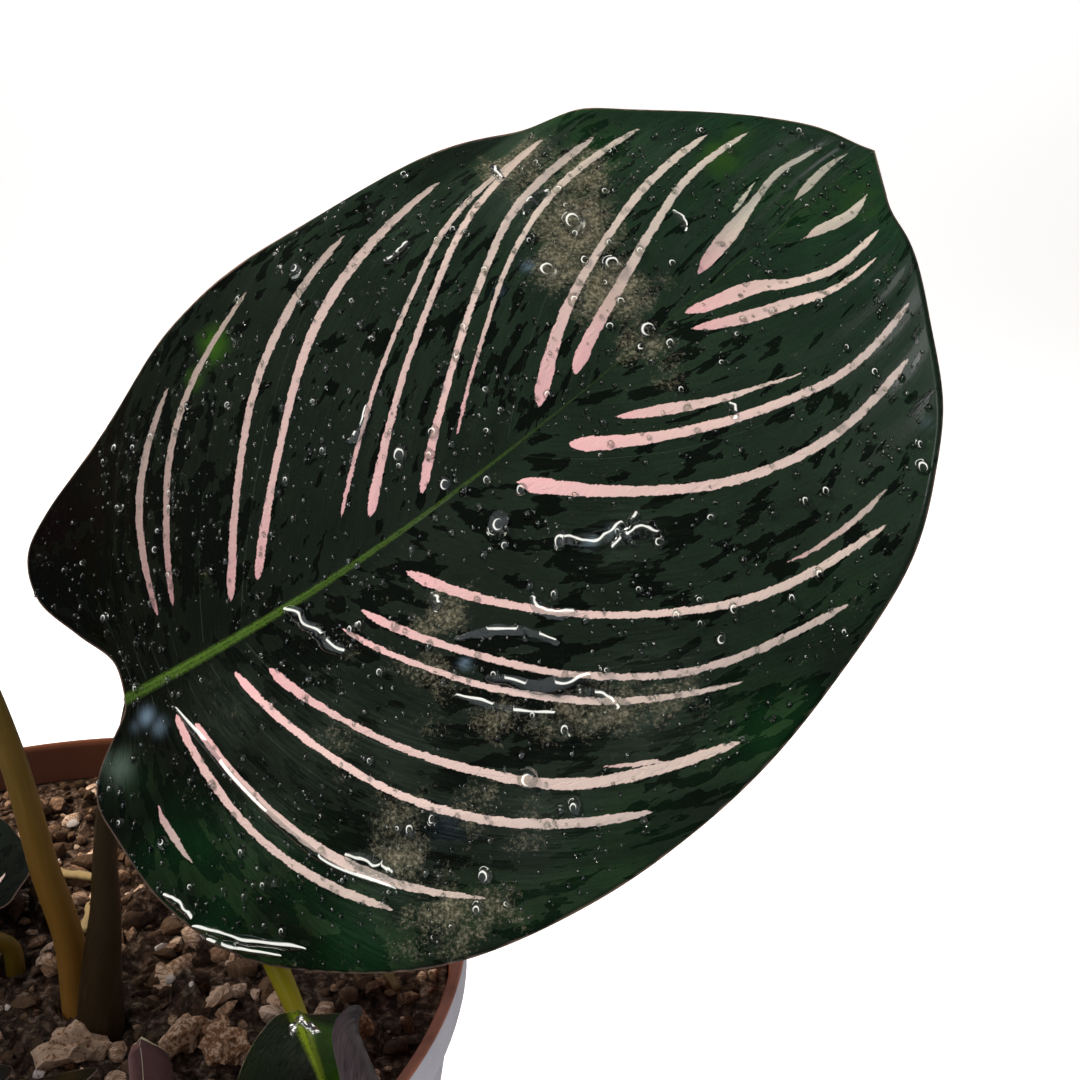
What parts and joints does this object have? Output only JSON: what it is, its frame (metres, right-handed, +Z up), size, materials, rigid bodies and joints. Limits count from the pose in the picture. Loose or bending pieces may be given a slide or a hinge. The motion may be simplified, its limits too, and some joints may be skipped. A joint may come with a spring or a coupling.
{
  "type": "potted pinstripe calathea",
  "caption": "Low clump of broad pointed leaves with curved pink pinstripes on slim sheathed stalks, standing in bark soil in a tapered two-tone nursery pot.",
  "frame": {"origin": "centre of the pot's flat underside, on the surface that it stands on", "axes": "+Z up along the pot's axis, -Y towards the front, +X to the right of the front"},
  "size_m": [0.2493, 0.182, 0.2423],
  "materials": {
    "pot_plastic": "two-layer moulded plastic, pale lavender grey outside and terracotta brown inside",
    "soil": "damp coarse bark and peat with pumice and a few fertiliser beads",
    "leaf_blade": "glossy, near-black green with pink pinstripes on top and purple underneath",
    "young_blade": "glossy fresh green with a wide pale midrib, dusky purple underneath",
    "dark_stalk": "satin dark brown",
    "olive_stalk": "satin olive to yellow green"
  },
  "bodies": {
    "root": {"pot": "pot_plastic", "soil": "soil", "main_leaf_blade": "leaf_blade", "main_leaf_stalk": "dark_stalk", "left_leaf_blade": "leaf_blade", "left_leaf_stalk": "olive_stalk", "low_back_leaf_blade": "leaf_blade", "low_back_leaf_stalk": "olive_stalk", "young_right_leaf_blade": "young_blade", "young_right_leaf_stalk": "olive_stalk", "front_leaf_blade": "leaf_blade", "front_leaf_stalk": "olive_stalk", "rolled_leaf_blade": "young_blade", "rolled_leaf_stalk": "olive_stalk"}
  },
  "joints": []
}
